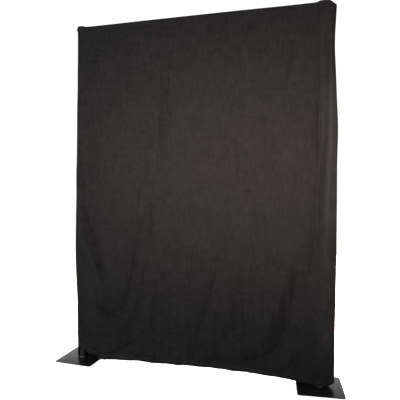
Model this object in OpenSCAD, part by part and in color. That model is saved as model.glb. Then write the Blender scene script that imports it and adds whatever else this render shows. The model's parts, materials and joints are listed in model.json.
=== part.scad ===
// Free-standing cloth screen: a black slip cover over a tube frame on two flat base plates.
// X runs along the screen, the front faces -Y, Z is up and z = 0 is the floor.
// x = 0 is half way between the two posts.

/* [Base plates] */
// Side of the square steel plate
plate_side = 290; // [220:1:450]
// Thickness of the steel plate
plate_t = 5; // [4.6:0.1:10]
// Radius of the plate's corners
plate_corner_r = 16; // [5:1:40]
// How far the left plate is turned on its post, in degrees
left_plate_turn = -1.8; // [-45:0.1:45]
// How far the right plate is turned on its post, in degrees
right_plate_turn = 5.7; // [-45:0.1:45]
// Diameter of a rubber pad under the plate
pad_d = 20; // [12:1:40]
// Thickness of a rubber pad
pad_t = 1.5; // [1:0.1:5]
// Distance from the plate's edge to a pad's centre
pad_inset = 26; // [20:1:60]
// Length of the pin that the post stands on
pin_len = 150; // [80:1:250]
// Wall of the pin's tube
pin_wall = 2.5; // [2:0.1:5]
// Thickness of the closed foot inside the pin's tube
pin_foot_t = 12; // [10:1:30]
// Radial running clearance between pin and post
pin_fit = 0.1; // [0.02:0.01:0.1]
// Thickness of the plastic bearing ring under the post
ring_t = 3; // [2:0.1:8]
// How far the bearing ring stands out past the post
ring_rim = 4; // [2:0.5:12]
// Gap between bearing ring and post
swivel_gap = 0.3; // [0.2:0.05:1]

/* [Posts] */
// Distance between the two post axes
post_spacing = 1704; // [1200:1:2600]
// Length of one of the three tubes in a post
post_section_len = 795; // [500:1:1000]
// Outside diameter of the post tube
post_od = 38; // [31:0.5:60]
// Wall of the post tube
post_wall = 1.5; // [1:0.1:3]
// Length of the top plug below its rivet
plug_grip = 10; // [6:1:40]

/* [Top bar] */
// Outside diameter of the bar
bar_od = 32; // [26:0.5:45]
// Wall of the bar
bar_wall = 1.5; // [1:0.1:3]
// How far the bar runs on past the left post's axis
left_overhang = 20; // [20:0.5:200]
// How far the bar runs on past the right post's axis
right_overhang = 34; // [20:0.5:200]
// Thickness of the plastic cap on each end of the bar
cap_t = 3; // [2:0.1:8]
// Depth of the cap's spigot inside the bar
cap_spigot = 12; // [6:1:18]

/* [Couplers] */
// Length of the inner tube that joins two sections
coupler_len = 160; // [130:1:240]
// Wall of the inner tube
coupler_wall = 2; // [1.5:0.1:3]
// Radial clearance between the inner tube and the sections
sleeve_fit = 0.1; // [0.05:0.05:0.3]
// Diameter of a blind rivet's shank
rivet_d = 4.8; // [3.2:0.1:6]
// Diameter of a rivet's head
rivet_head_d = 9.5; // [7:0.1:12]
// Height of a rivet's head
rivet_head_t = 1.4; // [1:0.1:2]
// Distance from the joint to the nearer rivet
rivet_inset = 22; // [15:1:30]
// Distance between the two rivets of a joint
rivet_pitch = 34; // [20:1:34]

/* [Snap buttons] */
// Diameter of a button
button_d = 8; // [6:0.5:9]
// How far a button stands out of its tube
button_proud = 3; // [2:0.1:4]
// Radial running clearance round a button
button_fit = 0.1; // [0.05:0.01:0.1]
// Distance from the joint to a button's axis
button_inset = 32; // [25:1:45]
// Thickness of the spring steel
spring_t = 0.8; // [0.6:0.1:1.2]
// Width of the spring steel
spring_w = 8; // [6:0.5:9]

/* [Top fittings] */
// Diameter of the stud on top of a post
stud_d = 8; // [6:0.5:10]
// Radial running clearance between stud and thumb nut
nut_fit = 0.05; // [0.02:0.01:0.1]
// Thickness of the saddle between post and bar
saddle_seat = 3; // [2:0.1:8]
// Wall of the saddle round the post
saddle_wall = 2; // [1.5:0.1:4]
// How far the saddle reaches down round the post
saddle_skirt = 9; // [5:1:20]
// Diameter of the thumb nut
nut_d = 26; // [20:0.5:32]
// Height of the thumb nut
nut_h = 4.5; // [4:0.5:14]
// Diameter of the saddle washer under the nut
washer_d = 24; // [20:0.5:26]
// Thickness of the saddle washer on the bar's crest
washer_t = 1.5; // [1:0.1:4]

/* [Cover] */
// Thickness of the cloth
cloth_t = 1.2; // [0.8:0.1:3]
// Gap between the saddles and the cloth
cover_gap = 1; // [0.5:0.1:20]
// Slack of the cover beyond the left end of the bar
left_cover_slack = 17.5; // [2:0.5:80]
// Slack of the cover beyond the right end of the bar
right_cover_slack = 51.5; // [2:0.5:80]
// Gap between the thumb nuts and the cloth
cover_top_gap = 0.8; // [0.5:0.1:10]
// Height of the cover's lower edge above the floor
hem_height = 24; // [16:1:200]
// Depth of the doubled hem
hem_depth = 30; // [15:1:60]

/* [Hidden] */
$fn = 64;
cut = 1;

left = -1;
right = 1;

pad_place = plate_side / 2 - pad_inset;
plate_top = pad_t + plate_t;
post_r = post_od / 2;
post_bore_r = post_r - post_wall;
pin_r = post_bore_r - pin_fit;
pin_chamfer = 1.5;
ring_gap = 0.2;

screw_d = 8;
screw_hole_gap = 0.2;
screw_head_d = 2 * screw_d;
screw_head_h = (screw_head_d - screw_d) / 2;
screw_short = 2;
screw_key = 5;
screw_key_depth = 2.2;
thread_fit = 0.05;

post_bottom = plate_top + ring_t + swivel_gap;
post_len = 3 * post_section_len;
post_top = post_bottom + post_len;

bar_r = bar_od / 2;
bar_bore_r = bar_r - bar_wall;
bar_left = -post_spacing / 2 - left_overhang;
bar_right = post_spacing / 2 + right_overhang;
bar_mid = (bar_left + bar_right) / 2;
bar_section_len = (bar_right - bar_left) / 3;
bar_axis_z = post_top + saddle_seat + bar_r;
bar_top = bar_axis_z + bar_r;
cap_chamfer = 1;
cap_wall = 2;
saddle_fit = 0.1;
saddle_r = max(post_r + saddle_fit, bar_r) + saddle_wall;
plug_rivet_drop = saddle_skirt + rivet_head_d / 2 + 2;
plug_len = plug_rivet_drop + plug_grip;
stud_hole_d = stud_d + 1;
stud_foot = 4;
nut_roof = 1.5;
nut_chamfer = 1;
stud_chamfer = 0.75;
stud_tip = saddle_seat + bar_od + washer_t + nut_h - nut_roof - 0.5;
knurl_count = 24;
knurl_d = 2.4;

flange_d = button_d + 3;
flange_t = 1.2;
flange_gap = 0.2;
dome_r = 7;
tongue_len = 16;
leaf_len = 46;
arm_rise = 28;
bend_w = 8;
bend_corner = 2.5;
tongue_gap = 0.6;

rivet_fit = 0.1;
tail_d = 6.4;
tail_len = 2;
tail_gap = 0.2;

cover_in_y = saddle_r + cover_gap;
cover_out_y = cover_in_y + cloth_t;
cover_left = bar_left - cap_t - left_cover_slack - cloth_t;
cover_right = bar_right + cap_t + right_cover_slack + cloth_t;
cover_roof = bar_top + washer_t + nut_h + cover_top_gap;
hem_top = hem_height + hem_depth;

cloth_colour = "#232021";
plate_colour = "#2b2b2d";
tube_colour = "#3a3a3c";
plastic_colour = "#1d1d1f";
steel_colour = "#b4b6b8";

// The three sizes of a joint between two tubes: tube radius, inner tube's radii.
post_coupler_r = post_bore_r - sleeve_fit;
post_core_r = post_coupler_r - coupler_wall;
bar_coupler_r = bar_bore_r - sleeve_fit;
bar_core_r = bar_coupler_r - coupler_wall;

// How far from the tube's axis a flat strip or disc of this width sits inside a bore.
function seat_in(bore_r, width) = sqrt(bore_r * bore_r - width * width / 4) - flange_gap;

// --- Places ---

// On a post's axis at floor level, with local +X towards the middle of the screen.
module at_post(side) {
    translate([side * post_spacing / 2, 0, 0])
        rotate([0, 0, side == left ? 0 : 180])
            children();
}

// On top of a post, with local +X towards the middle of the screen.
module at_post_top(side) {
    at_post(side)
        translate([0, 0, post_top])
            children();
}

// On the bar's crest above a post.
module on_bar(side) {
    at_post(side)
        translate([0, 0, bar_top])
            children();
}

// At the joint above the given post section, with local +Z up.
module at_post_joint(side, section) {
    at_post(side)
        translate([0, 0, post_bottom + section * post_section_len])
            children();
}

// At a joint of the bar, with local +Z towards the bar's middle and local +X down.
module at_bar_joint(side) {
    translate([bar_mid + side * bar_section_len / 2, 0, bar_axis_z])
        rotate([0, side == left ? 90 : -90, 0])
            rotate([0, 0, side == left ? 0 : 180])
                children();
}

// --- Shapes that repeat ---

// A round rod whose upper edge is chamfered.
module rod(rod_r, len, chamfer) {
    rotate_extrude()
        polygon([
            [0, 0],
            [rod_r, 0],
            [rod_r, len - chamfer],
            [rod_r - chamfer, len],
            [0, len]
        ]);
}

module tube(outer_r, wall, len) {
    difference() {
        cylinder(r = outer_r, h = len);
        translate([0, 0, -cut])
            cylinder(r = outer_r - wall, h = len + 2 * cut);
    }
}

// A round hole through the +X wall of an upright tube, from the axis outwards.
module side_hole(hole_d, reach) {
    rotate([0, 90, 0])
        cylinder(d = hole_d, h = reach);
}

module button_hole(reach) {
    side_hole(button_d + 2 * button_fit, reach);
}

module rivet_holes(reach) {
    for (step = [0, 1])
        translate([0, 0, rivet_inset + step * rivet_pitch])
            side_hole(rivet_d + 2 * rivet_fit, reach);
}

// The inner tube of a joint: riveted to the tube above, buttoned to the tube below.
module coupler(outer_r) {
    difference() {
        translate([0, 0, -coupler_len / 2])
            tube(outer_r, coupler_wall, coupler_len);
        translate([0, 0, -button_inset])
            button_hole(outer_r + cut);
        rivet_holes(outer_r + cut);
    }
}

module rivet(tube_r, core_r) {
    tail_x = seat_in(core_r, tail_d);
    rotate([0, 90, 0]) {
        translate([0, 0, tail_x - tail_len])
            cylinder(d = tail_d, h = tail_len);
        translate([0, 0, tail_x - tail_len])
            cylinder(d = rivet_d, h = tube_r - tail_x + tail_len + rivet_head_t / 2);
        translate([0, 0, tube_r])
            cylinder(d1 = rivet_head_d, d2 = rivet_head_d - 3, h = rivet_head_t);
    }
}

module rivet_pair(tube_r, core_r) {
    for (step = [0, 1])
        translate([0, 0, rivet_inset + step * rivet_pitch])
            rivet(tube_r, core_r);
}

// A domed button with its flange and the end of the spring that carries it.
module snap_button(tube_r, core_r) {
    flange_x = seat_in(core_r, flange_d);
    tip_x = tube_r + button_proud;
    translate([0, 0, -button_inset]) {
        rotate([0, 90, 0]) {
            translate([0, 0, flange_x - flange_t])
                cylinder(d = flange_d, h = flange_t);
            intersection() {
                translate([0, 0, flange_x - flange_t])
                    cylinder(d = button_d, h = tip_x - flange_x + flange_t);
                translate([0, 0, tip_x - dome_r])
                    sphere(r = dome_r);
            }
            translate([0, 0, flange_x - flange_t / 2])
                cylinder(d = button_d, h = tube_r - flange_x + flange_t / 2);
        }
        translate([flange_x - flange_t - spring_t, -spring_w / 2, -tongue_len])
            cube([spring_t, spring_w, tongue_len + flange_d / 2]);
    }
}

// The fixed part of the button's spring: a leaf on the far wall, a bend and an arm.
module leaf_spring(core_r) {
    far_x = -seat_in(core_r, spring_w);
    near_x = far_x + bend_w;
    foot_z = -tongue_len - arm_rise;
    arm_x = seat_in(core_r, flange_d) - flange_t - 2 * spring_t;
    arm_z = -tongue_len - tongue_gap;
    inner_bend = bend_corner + 0.4 * spring_t;
    translate([0, spring_w / 2, -button_inset])
        rotate([90, 0, 0])
            linear_extrude(height = spring_w)
                polygon([
                    [far_x, foot_z + leaf_len],
                    [far_x, foot_z + bend_corner],
                    [far_x + bend_corner, foot_z],
                    [near_x - bend_corner, foot_z],
                    [near_x, foot_z + bend_corner],
                    [arm_x + spring_t, arm_z],
                    [arm_x, arm_z],
                    [near_x - spring_t, foot_z + inner_bend],
                    [near_x - inner_bend, foot_z + spring_t],
                    [far_x + inner_bend, foot_z + spring_t],
                    [far_x + spring_t, foot_z + inner_bend],
                    [far_x + spring_t, foot_z + leaf_len]
                ]);
}

// --- Base ---

module base_plate(turn) {
    flat = plate_side - 2 * plate_corner_r;
    color(plate_colour)
        rotate([0, 0, turn])
            translate([0, 0, pad_t])
                difference() {
                    union() {
                        translate([-flat / 2, -plate_side / 2, 0])
                            cube([flat, plate_side, plate_t]);
                        translate([-plate_side / 2, -flat / 2, 0])
                            cube([plate_side, flat, plate_t]);
                        for (x = [-1, 1], y = [-1, 1])
                            translate([x * flat / 2, y * flat / 2, 0])
                                cylinder(r = plate_corner_r, h = plate_t);
                    }
                    translate([0, 0, -cut])
                        cylinder(d = screw_d + 2 * screw_hole_gap, h = plate_t + 2 * cut);
                    screw_cone(screw_hole_gap);
                }
}

// The screw head's cone, with its wide end at the plate's underside.
module screw_cone(gap) {
    cylinder(d1 = screw_head_d + 2 * gap, d2 = screw_d + 2 * gap, h = screw_head_h);
}

module feet_pads(turn) {
    color(plastic_colour)
        rotate([0, 0, turn])
            for (x = [-1, 1], y = [-1, 1])
                translate([x * pad_place, y * pad_place, 0])
                    cylinder(d = pad_d, h = pad_t);
}

module plate_screw() {
    color(steel_colour)
        translate([0, 0, pad_t])
            difference() {
                union() {
                    screw_cone(0);
                    cylinder(d = screw_d, h = plate_t + pin_foot_t - screw_short);
                }
                translate([0, 0, -cut])
                    cylinder(d = screw_key, h = screw_key_depth + cut, $fn = 6);
            }
}

module base_pin() {
    color(steel_colour)
        translate([0, 0, plate_top])
            difference() {
                rod(pin_r, pin_len, pin_chamfer);
                translate([0, 0, pin_foot_t])
                    cylinder(r = pin_r - pin_wall, h = pin_len);
                translate([0, 0, -cut])
                    cylinder(d = screw_d + 2 * thread_fit, h = pin_foot_t + 2 * cut);
            }
}

module bearing_ring() {
    color(plastic_colour)
        translate([0, 0, plate_top])
            tube(post_r + ring_rim, post_r + ring_rim - pin_r - ring_gap, ring_t);
}

// --- Post ---

// section 0 is the lowest tube, 2 the highest.
module post_tube(section) {
    color(tube_colour)
        translate([0, 0, post_bottom + section * post_section_len])
            difference() {
                tube(post_r, post_wall, post_section_len);
                if (section < 2)
                    translate([0, 0, post_section_len - button_inset])
                        button_hole(post_r + cut);
                if (section > 0)
                    rivet_holes(post_r + cut);
                if (section == 2)
                    translate([0, 0, post_section_len - plug_rivet_drop])
                        side_hole(rivet_d + 2 * rivet_fit, post_r + cut);
            }
}

module post_rivets(side) {
    color(steel_colour) {
        for (section = [1, 2])
            at_post_joint(side, section)
                rivet_pair(post_r, post_core_r);
        at_post_top(side)
            translate([0, 0, -plug_rivet_drop])
                rivet(post_r, post_core_r);
    }
}

module top_plug() {
    color(steel_colour)
        translate([0, 0, -plug_len])
            difference() {
                cylinder(r = post_coupler_r, h = plug_len);
                translate([0, 0, stud_foot])
                    cylinder(d = stud_d + 2 * thread_fit, h = plug_len);
                translate([post_core_r - tail_len - 1, 0, plug_grip])
                    side_hole(tail_d + 2 * tail_gap, post_r);
            }
}

module top_stud() {
    stud_bottom = stud_foot - plug_len;
    color(steel_colour)
        translate([0, 0, stud_bottom])
            rod(stud_d / 2, stud_tip - stud_bottom, stud_chamfer);
}

module saddle() {
    color(plastic_colour)
        difference() {
            translate([0, 0, -saddle_skirt])
                cylinder(r = saddle_r, h = saddle_skirt + saddle_seat + bar_r);
            translate([0, 0, -saddle_skirt - cut])
                cylinder(r = post_r + saddle_fit, h = saddle_skirt + cut);
            translate([0, 0, saddle_seat + bar_r])
                rotate([0, 90, 0])
                    cylinder(r = bar_r + saddle_fit / 2, h = 3 * saddle_r, center = true);
            cylinder(d = stud_hole_d, h = saddle_seat + bar_r);
        }
}

module nut_washer() {
    washer_foot = bar_r - sqrt(bar_r * bar_r - washer_d * washer_d / 4);
    color(plastic_colour)
        difference() {
            translate([0, 0, -washer_foot])
                cylinder(d = washer_d, h = washer_foot + washer_t);
            translate([0, 0, -bar_r])
                rotate([0, 90, 0])
                    cylinder(r = bar_r + saddle_fit / 2, h = 2 * washer_d, center = true);
            translate([0, 0, -bar_r])
                cylinder(d = stud_hole_d, h = bar_od);
        }
}

module thumb_nut() {
    color(plastic_colour)
        translate([0, 0, washer_t])
            difference() {
                rod(nut_d / 2, nut_h, nut_chamfer);
                translate([0, 0, -cut])
                    cylinder(d = stud_d + 2 * nut_fit, h = nut_h - nut_roof + cut);
                for (i = [0 : knurl_count - 1])
                    rotate([0, 0, i * 360 / knurl_count])
                        translate([nut_d / 2 + knurl_d / 4, 0, -cut])
                            cylinder(d = knurl_d, h = nut_h + 2 * cut);
            }
}

// --- Top bar ---

// part -1 is the left tube, 0 the middle one, 1 the right one.
module bar_tube(part) {
    start = bar_mid + (part - 0.5) * bar_section_len;
    color(tube_colour)
        difference() {
            translate([start, 0, bar_axis_z])
                rotate([0, 90, 0])
                    tube(bar_r, bar_wall, bar_section_len);
            if (part != 0) {
                at_bar_joint(part)
                    translate([0, 0, -button_inset])
                        button_hole(bar_r + cut);
                bar_stud_holes(part);
            }
            if (part == 0)
                for (side = [left, right])
                    at_bar_joint(side)
                        rivet_holes(bar_r + cut);
        }
}

// Both end tubes have the same two holes, so that either one fits either end.
module bar_stud_holes(side) {
    for (from_mid = [post_spacing / 2 - bar_mid, post_spacing / 2 + bar_mid])
        translate([bar_mid + side * from_mid, 0, bar_axis_z - bar_od])
            cylinder(d = stud_hole_d, h = 2 * bar_od);
}

module bar_cap(side) {
    color(plastic_colour)
        translate([side == left ? bar_left : bar_right, 0, bar_axis_z])
            rotate([0, side * 90, 0])
                difference() {
                    union() {
                        rod(bar_r, cap_t, cap_chamfer);
                        translate([0, 0, -cap_spigot])
                            cylinder(r = bar_bore_r - sleeve_fit, h = cap_spigot);
                    }
                    translate([0, 0, -cap_spigot - cut])
                        cylinder(r = bar_bore_r - sleeve_fit - cap_wall, h = cap_spigot + cut);
                }
}

// --- Cover ---

module cover_panel(side) {
    color(cloth_colour)
        translate([cover_left, side * (cover_in_y + cloth_t / 2) - cloth_t / 2, hem_top])
            cube([cover_right - cover_left, cloth_t, cover_roof - hem_top]);
}

module cover_hem(side) {
    color(cloth_colour)
        translate([cover_left, side * (cover_in_y + cloth_t / 2) - cloth_t / 2, hem_height])
            cube([cover_right - cover_left, cloth_t, hem_depth]);
}

module cover_side(x) {
    color(cloth_colour)
        translate([x, -cover_in_y, hem_height])
            cube([cloth_t, 2 * cover_in_y, cover_roof - hem_height]);
}

// --- Sub-parts, left ---

module left_base_plate() { at_post(left) base_plate(left_plate_turn); }
module left_feet_pads() { at_post(left) feet_pads(left_plate_turn); }
module left_plate_screw() { at_post(left) plate_screw(); }
module left_base_pin() { at_post(left) base_pin(); }
module left_bearing_ring() { at_post(left) bearing_ring(); }
module left_post_lower() { at_post(left) post_tube(0); }
module left_post_middle() { at_post(left) post_tube(1); }
module left_post_upper() { at_post(left) post_tube(2); }
module left_lower_coupler() { color(steel_colour) at_post_joint(left, 1) coupler(post_coupler_r); }
module left_upper_coupler() { color(steel_colour) at_post_joint(left, 2) coupler(post_coupler_r); }
module left_post_rivets() { post_rivets(left); }
module left_lower_button() { color(steel_colour) at_post_joint(left, 1) snap_button(post_r, post_core_r); }
module left_upper_button() { color(steel_colour) at_post_joint(left, 2) snap_button(post_r, post_core_r); }
module left_button_springs() {
    color(steel_colour)
        for (section = [1, 2])
            at_post_joint(left, section)
                leaf_spring(post_core_r);
}
module left_top_plug() { at_post_top(left) top_plug(); }
module left_top_stud() { at_post_top(left) top_stud(); }
module left_saddle() { at_post_top(left) saddle(); }
module left_nut_washer() { on_bar(left) nut_washer(); }
module left_thumb_nut() { on_bar(left) thumb_nut(); }
module left_bar_cap() { bar_cap(left); }

// --- Sub-parts, right ---

module right_base_plate() { at_post(right) base_plate(right_plate_turn); }
module right_feet_pads() { at_post(right) feet_pads(right_plate_turn); }
module right_plate_screw() { at_post(right) plate_screw(); }
module right_base_pin() { at_post(right) base_pin(); }
module right_bearing_ring() { at_post(right) bearing_ring(); }
module right_post_lower() { at_post(right) post_tube(0); }
module right_post_middle() { at_post(right) post_tube(1); }
module right_post_upper() { at_post(right) post_tube(2); }
module right_lower_coupler() { color(steel_colour) at_post_joint(right, 1) coupler(post_coupler_r); }
module right_upper_coupler() { color(steel_colour) at_post_joint(right, 2) coupler(post_coupler_r); }
module right_post_rivets() { post_rivets(right); }
module right_lower_button() { color(steel_colour) at_post_joint(right, 1) snap_button(post_r, post_core_r); }
module right_upper_button() { color(steel_colour) at_post_joint(right, 2) snap_button(post_r, post_core_r); }
module right_button_springs() {
    color(steel_colour)
        for (section = [1, 2])
            at_post_joint(right, section)
                leaf_spring(post_core_r);
}
module right_top_plug() { at_post_top(right) top_plug(); }
module right_top_stud() { at_post_top(right) top_stud(); }
module right_saddle() { at_post_top(right) saddle(); }
module right_nut_washer() { on_bar(right) nut_washer(); }
module right_thumb_nut() { on_bar(right) thumb_nut(); }
module right_bar_cap() { bar_cap(right); }

// --- Sub-parts, bar ---

module bar_left_section() { bar_tube(left); }
module bar_middle_section() { bar_tube(0); }
module bar_right_section() { bar_tube(right); }
module bar_left_coupler() { color(steel_colour) at_bar_joint(left) coupler(bar_coupler_r); }
module bar_right_coupler() { color(steel_colour) at_bar_joint(right) coupler(bar_coupler_r); }
module bar_rivets() {
    color(steel_colour)
        for (side = [left, right])
            at_bar_joint(side)
                rivet_pair(bar_r, bar_core_r);
}
module bar_left_button() { color(steel_colour) at_bar_joint(left) snap_button(bar_r, bar_core_r); }
module bar_right_button() { color(steel_colour) at_bar_joint(right) snap_button(bar_r, bar_core_r); }
module bar_button_springs() {
    color(steel_colour)
        for (side = [left, right])
            at_bar_joint(side)
                leaf_spring(bar_core_r);
}

// --- Sub-parts, cover ---

module cover_front() { cover_panel(-1); }
module cover_back() { cover_panel(1); }
module cover_left_side() { cover_side(cover_left); }
module cover_right_side() { cover_side(cover_right - cloth_t); }
module cover_top() {
    color(cloth_colour)
        translate([cover_left, -cover_out_y, cover_roof])
            cube([cover_right - cover_left, 2 * cover_out_y, cloth_t]);
}
module cover_front_hem() { cover_hem(-1); }
module cover_back_hem() { cover_hem(1); }

left_base_plate();
left_feet_pads();
left_plate_screw();
left_base_pin();
left_bearing_ring();
left_post_lower();
left_post_middle();
left_post_upper();
left_lower_coupler();
left_upper_coupler();
left_post_rivets();
left_lower_button();
left_upper_button();
left_button_springs();
left_top_plug();
left_top_stud();
left_saddle();
left_nut_washer();
left_thumb_nut();
left_bar_cap();
right_base_plate();
right_feet_pads();
right_plate_screw();
right_base_pin();
right_bearing_ring();
right_post_lower();
right_post_middle();
right_post_upper();
right_lower_coupler();
right_upper_coupler();
right_post_rivets();
right_lower_button();
right_upper_button();
right_button_springs();
right_top_plug();
right_top_stud();
right_saddle();
right_nut_washer();
right_thumb_nut();
right_bar_cap();
bar_left_section();
bar_middle_section();
bar_right_section();
bar_left_coupler();
bar_right_coupler();
bar_rivets();
bar_left_button();
bar_right_button();
bar_button_springs();
cover_front();
cover_back();
cover_left_side();
cover_right_side();
cover_top();
cover_front_hem();
cover_back_hem();
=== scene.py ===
import json
import math

import bmesh
import bpy
import numpy as np
from mathutils import Matrix, Vector


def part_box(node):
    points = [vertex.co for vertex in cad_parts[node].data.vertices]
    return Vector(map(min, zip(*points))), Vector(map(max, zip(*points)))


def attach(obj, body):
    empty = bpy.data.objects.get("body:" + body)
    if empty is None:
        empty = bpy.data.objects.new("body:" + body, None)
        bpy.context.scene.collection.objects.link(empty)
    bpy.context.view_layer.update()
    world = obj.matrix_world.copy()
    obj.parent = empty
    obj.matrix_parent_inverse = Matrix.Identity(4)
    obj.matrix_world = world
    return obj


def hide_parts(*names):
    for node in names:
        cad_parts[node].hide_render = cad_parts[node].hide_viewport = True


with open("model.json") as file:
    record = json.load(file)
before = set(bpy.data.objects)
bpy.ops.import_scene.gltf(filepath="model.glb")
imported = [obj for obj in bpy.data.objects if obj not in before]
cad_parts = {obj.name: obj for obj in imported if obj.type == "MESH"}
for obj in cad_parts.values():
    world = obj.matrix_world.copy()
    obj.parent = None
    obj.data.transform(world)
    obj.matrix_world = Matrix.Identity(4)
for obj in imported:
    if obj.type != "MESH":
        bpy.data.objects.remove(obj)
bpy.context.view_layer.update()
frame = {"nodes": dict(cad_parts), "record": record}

MM = 0.001

# The places that the frame gives, in metres.
POST_LOW, POST_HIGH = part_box("left_post_upper")
LEFT_POST_X = (POST_LOW[0] + POST_HIGH[0]) / 2
POST_RADIUS = (POST_HIGH[0] - POST_LOW[0]) / 2
RIGHT_POST_X = sum(corner[0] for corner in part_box("right_post_upper")) / 2
BAR_LOW, BAR_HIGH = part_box("bar_middle_section")
BAR_AXIS = (BAR_LOW[2] + BAR_HIGH[2]) / 2
PLATE_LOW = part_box("left_base_plate")[0][2]
PLATE_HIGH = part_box("left_base_plate")[1][2]


# ---------------------------------------------------------------- camera

# Where the camera stands in metres, its yaw, pitch and roll in degrees, and its lens in mm.
CAMERA_PLACE = (0.8279, -2.7886, 1.2969)
CAMERA_TURN = (-15.519, -2.144, 0.199)
CAMERA_LENS = 38.21


def make_camera():
    """A camera at chest height before the right half, turned a little to the left."""
    yaw, pitch, roll = (math.radians(angle) for angle in CAMERA_TURN)
    forward = Vector((
        math.sin(yaw) * math.cos(pitch),
        math.cos(yaw) * math.cos(pitch),
        math.sin(pitch),
    ))
    level = Vector((math.cos(yaw), -math.sin(yaw), 0))
    right = math.cos(roll) * level + math.sin(roll) * level.cross(forward)
    up = right.cross(forward)
    data = bpy.data.cameras.new("camera")
    data.sensor_width = 36
    data.lens = CAMERA_LENS
    data.clip_end = 60
    camera = bpy.data.objects.new("camera", data)
    bpy.context.collection.objects.link(camera)
    turn = Matrix((right, up, -forward)).transposed().to_4x4()
    camera.matrix_world = Matrix.Translation(CAMERA_PLACE) @ turn
    bpy.context.scene.camera = camera


make_camera()


# ---------------------------------------------------------------- paint

class Wire:
    """A number that comes out of a node. Arithmetic on it adds Math nodes."""

    def __init__(self, paint, socket):
        self.paint = paint
        self.socket = socket

    def math(self, operation, first, second=0.0):
        return self.paint.node("Math", {"operation": operation}, {0: first, 1: second})

    def __add__(self, other):
        return self.math("ADD", self, other)

    def __radd__(self, other):
        return self.math("ADD", other, self)

    def __sub__(self, other):
        return self.math("SUBTRACT", self, other)

    def __rsub__(self, other):
        return self.math("SUBTRACT", other, self)

    def __mul__(self, other):
        return self.math("MULTIPLY", self, other)

    def __rmul__(self, other):
        return self.math("MULTIPLY", other, self)

    def sine(self):
        return self.math("SINE", self)

    def above(self, edge):
        return self.math("GREATER_THAN", self, edge)


class Paint:
    """One material and its nodes."""

    def __init__(self, name):
        self.material = bpy.data.materials.new(name)
        self.material.use_nodes = True
        self.tree = self.material.node_tree
        self.tree.nodes.clear()

    def node(self, kind, settings=None, sockets=None, out=0):
        made = self.tree.nodes.new("ShaderNode" + kind)
        for name, value in (settings or {}).items():
            if name == "stops":
                self.set_stops(made.color_ramp, value)
            else:
                setattr(made, name, value)
        for name, value in (sockets or {}).items():
            if isinstance(value, Wire):
                self.tree.links.new(value.socket, made.inputs[name])
            else:
                made.inputs[name].default_value = value
        return Wire(self, made.outputs[out]) if len(made.outputs) else None

    def set_stops(self, ramp, stops):
        while len(ramp.elements) < len(stops):
            ramp.elements.new(1.0)
        for element, (place, colour) in zip(ramp.elements, stops):
            element.position = place
            element.color = colour

    def noise(self, vector, scale, detail=2.0, roughness=0.5):
        return self.node("TexNoise", None, {
            "Vector": vector, "Scale": scale, "Detail": detail, "Roughness": roughness,
        })

    def stretched(self, vector, scale):
        return self.node("Mapping", None, {"Vector": vector, "Scale": scale})

    def blend(self, factor, first, second):
        return self.node("Mix", {"data_type": "RGBA"}, {0: factor, 6: first, 7: second}, 2)

    def bump(self, height, strength, distance):
        return self.node("Bump", None, {
            "Height": height, "Strength": strength, "Distance": distance,
        })

    def surface(self, **sockets):
        values = {name.replace("_", " "): value for name, value in sockets.items()}
        shader = self.node("BsdfPrincipled", None, values)
        self.node("OutputMaterial", None, {"Surface": shader})
        return self.material

    def own_place(self):
        return self.node("TexCoord", None, None, "Object")


def grey(value):
    return (value, value, value, 1.0)


YARN_PITCH = 0.0011


def paint_cotton():
    """Black cotton with a weave, a brushed nap and uneven yarns, laid out on the cloth."""
    paint = Paint("brushed_black_cotton")
    place = paint.node("UVMap", {"uv_map": "cloth"})
    across = paint.node("SeparateXYZ", None, {"Vector": place}, "X")
    along = paint.node("SeparateXYZ", None, {"Vector": place}, "Y")
    turn = 2 * math.pi / YARN_PITCH
    weave = (across * turn).sine() * (along * turn).sine()
    fluff = paint.noise(paint.stretched(place, (1.0, 0.45, 1.0)), 1400, 3.0, 0.6)
    nap = paint.noise(paint.stretched(place, (1.0, 0.22, 1.0)), 60, 4.0, 0.7)
    slubs = paint.noise(paint.stretched(place, (0.25, 1.0, 1.0)), 42, 4.0, 0.7)
    patches = paint.noise(place, 7, 2.0, 0.5)
    dark = (0.0001, 0.0001, 0.0001, 1.0)
    light = (0.0052, 0.0052, 0.0053, 1.0)
    shade = fluff * 0.2 + nap * 0.62 + slubs * 0.5 + patches * 0.16 - 0.06 * weave - 0.24
    colour = paint.blend(shade, dark, light)
    height = fluff * 0.7 + weave * 0.25 + nap * 0.8
    return paint.surface(
        Base_Color=colour,
        Roughness=0.93,
        Specular_IOR_Level=0.02,
        Normal=paint.bump(height, 0.35, 0.0006),
    )


def paint_thread():
    paint = Paint("black_thread")
    place = paint.own_place()
    twist = paint.noise(place, 2500, 2.0)
    return paint.surface(
        Base_Color=paint.blend(twist, grey(0.003), grey(0.007)),
        Roughness=0.6,
        Normal=paint.bump(twist, 0.3, 0.0002),
    )


def paint_powder_coat():
    paint = Paint("black_powder_coat")
    place = paint.own_place()
    peel = paint.noise(place, 420, 2.0, 0.4)
    cloud = paint.noise(place, 14, 3.0, 0.6)
    specks = paint.noise(place, 260, 1.0, 0.5).above(0.72)
    colour = paint.blend(cloud * 0.6 + specks * 0.25, grey(0.002), grey(0.004))
    return paint.surface(
        Base_Color=colour,
        Roughness=0.16 + cloud * 0.14,
        IOR=1.3,
        Normal=paint.bump(peel, 0.12, 0.0004),
    )


def paint_anodised(name, along):
    """Black anodised tube with fine draw lines that run along one axis."""
    paint = Paint(name)
    place = paint.own_place()
    scale = [1.0, 1.0, 1.0]
    scale[along] = 0.01
    lines = paint.noise(paint.stretched(place, tuple(scale)), 900, 2.0, 0.7)
    cloud = paint.noise(place, 9, 2.0)
    return paint.surface(
        Base_Color=paint.blend(lines * 0.5 + cloud * 0.5, grey(0.003), grey(0.007)),
        Roughness=0.6 + lines * 0.12,
        IOR=1.1,
        Normal=paint.bump(lines, 0.08, 0.0002),
    )


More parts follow.
